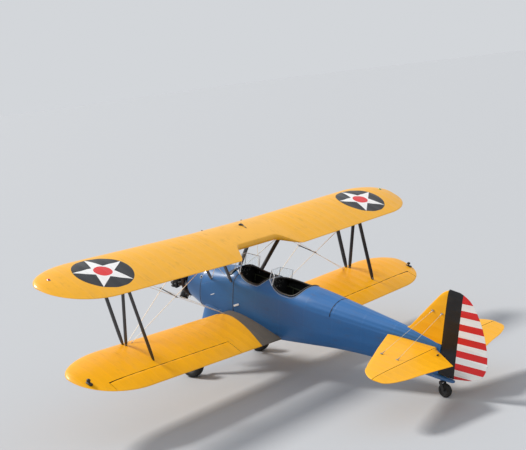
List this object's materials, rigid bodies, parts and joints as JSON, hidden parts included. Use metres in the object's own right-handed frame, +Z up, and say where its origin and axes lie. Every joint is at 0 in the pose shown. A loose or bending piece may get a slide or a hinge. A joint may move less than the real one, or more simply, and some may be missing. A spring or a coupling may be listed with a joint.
{
  "type": "open-cockpit tail-wheel biplane",
  "caption": "Two-seat open-cockpit biplane parked on its tail-wheel gear, with a radial engine, braced wings and moving control surfaces.",
  "frame": {"origin": "on the floor under the middle of the bounding box of the parked aircraft", "axes": "+X to port along the wings, +Y aft towards the tail, +Z up from the floor"},
  "size_m": [9.7998, 7.6772, 3.0537],
  "materials": {
    "wing_fabric": "doped fabric, gloss",
    "rudder_fabric": "doped fabric with stripes, gloss",
    "fuselage_paint": "doped fabric and painted panels, gloss",
    "leg_paint": "painted fairing, gloss",
    "engine_metal": "black enamel",
    "exhaust_metal": "heat-tinted sheet",
    "strut_paint": "black paint",
    "wire_steel": "plain steel",
    "blade_metal": "polished",
    "fitting_steel": "satin",
    "tyre": "matt rubber",
    "wheel_paint": "painted, satin",
    "screen_glass": "clear",
    "coaming_leather": "padded leather",
    "seat_metal": "painted sheet",
    "floor_board": "varnished board",
    "panel_paint": "matt black"
  },
  "bodies": {
    "airframe": {"fuselage_front": "fuselage_paint", "fuselage_rear": "fuselage_paint", "accessory_cowl": "fuselage_paint", "engine": "engine_metal", "exhaust_collector": "exhaust_metal", "upper_wing_center": "wing_fabric", "upper_wing_left": "wing_fabric", "upper_wing_right": "wing_fabric", "lower_wing_left": "wing_fabric", "lower_wing_right": "wing_fabric", "strut_front_left": "strut_paint", "strut_front_right": "strut_paint", "strut_rear_left": "strut_paint", "strut_rear_right": "strut_paint", "strut_diagonal_left": "strut_paint", "strut_diagonal_right": "strut_paint", "cabane_front_left": "strut_paint", "cabane_front_right": "strut_paint", "cabane_rear_left": "strut_paint", "cabane_rear_right": "strut_paint", "landing_wire_front_left": "wire_steel", "landing_wire_front_right": "wire_steel", "landing_wire_rear_left": "wire_steel", "landing_wire_rear_right": "wire_steel", "flying_wire_front_left": "wire_steel", "flying_wire_front_right": "wire_steel", "flying_wire_rear_left": "wire_steel", "flying_wire_rear_right": "wire_steel", "stabilizer_left": "wing_fabric", "stabilizer_right": "wing_fabric", "fin": "wing_fabric", "gear_leg_left": "leg_paint", "gear_leg_right": "leg_paint", "tailwheel_strut": "fitting_steel", "cockpit_floor": "floor_board", "panel_front": "panel_paint", "seat_front": "seat_metal", "coaming_front": "coaming_leather", "windscreen_front": "screen_glass", "panel_rear": "panel_paint", "seat_rear": "seat_metal", "coaming_rear": "coaming_leather", "windscreen_rear": "screen_glass"},
    "propeller": {"propeller_hub": "fitting_steel", "propeller_blade_1": "blade_metal", "propeller_blade_2": "blade_metal"},
    "main_wheel_left": {"tyre_left": "tyre", "wheel_left": "wheel_paint"},
    "main_wheel_right": {"tyre_right": "tyre", "wheel_right": "wheel_paint"},
    "tail_fork": {"tailwheel_fork": "fitting_steel"},
    "tail_wheel": {"tailwheel_tyre": "tyre", "tailwheel_rim": "wheel_paint"},
    "rudder": {"rudder": "rudder_fabric"},
    "elevators": {"elevator_left": "wing_fabric", "elevator_right": "wing_fabric"},
    "aileron_left": {"aileron_left": "wing_fabric"},
    "aileron_right": {"aileron_right": "wing_fabric"}
  },
  "joints": [
    {"name": "propeller_spin", "type": "hinge", "parent": "airframe", "child": "propeller", "pos_m": [0, -3.63677, 1.95881], "axis": [0, 0.9721, -0.2346], "continuous": true},
    {"name": "main_wheel_left_spin", "type": "hinge", "parent": "airframe", "child": "main_wheel_left", "pos_m": [0.98, -2.64507, 0.305], "axis": [1, 0, 0], "continuous": true},
    {"name": "main_wheel_right_spin", "type": "hinge", "parent": "airframe", "child": "main_wheel_right", "pos_m": [-0.98, -2.64507, 0.305], "axis": [1, 0, 0], "continuous": true},
    {"name": "tail_fork_swivel", "type": "hinge", "parent": "airframe", "child": "tail_fork", "pos_m": [0, 2.86618, 0.327], "axis": [0, 0, 1], "range_deg": [-40, 40]},
    {"name": "tail_wheel_spin", "type": "hinge", "parent": "tail_fork", "child": "tail_wheel", "pos_m": [0, 2.90918, 0.127], "axis": [1, 0, 0], "continuous": true},
    {"name": "rudder_hinge", "type": "hinge", "parent": "airframe", "child": "rudder", "pos_m": [0, 2.94764, 0.85119], "axis": [0, 0.2468, 0.9691], "range_deg": [-30, 30]},
    {"name": "elevator_hinge", "type": "hinge", "parent": "airframe", "child": "elevators", "pos_m": [0, 2.85189, 0.87429], "axis": [1, 0, 0], "range_deg": [-20, 28]},
    {"name": "aileron_left_hinge", "type": "hinge", "parent": "airframe", "child": "aileron_left", "pos_m": [1.46, -0.9269, 0.98541], "axis": [0.9995, 0.0072, 0.0299], "range_deg": [-25, 25]},
    {"name": "aileron_right_hinge", "type": "hinge", "parent": "airframe", "child": "aileron_right", "pos_m": [-1.46, -0.9269, 0.98541], "axis": [0.9995, -0.0072, -0.0299], "range_deg": [-25, 25]}
  ],
  "couplings": [
    {"joint": "aileron_right_hinge", "follows": "aileron_left_hinge", "ratio": -1}
  ]
}
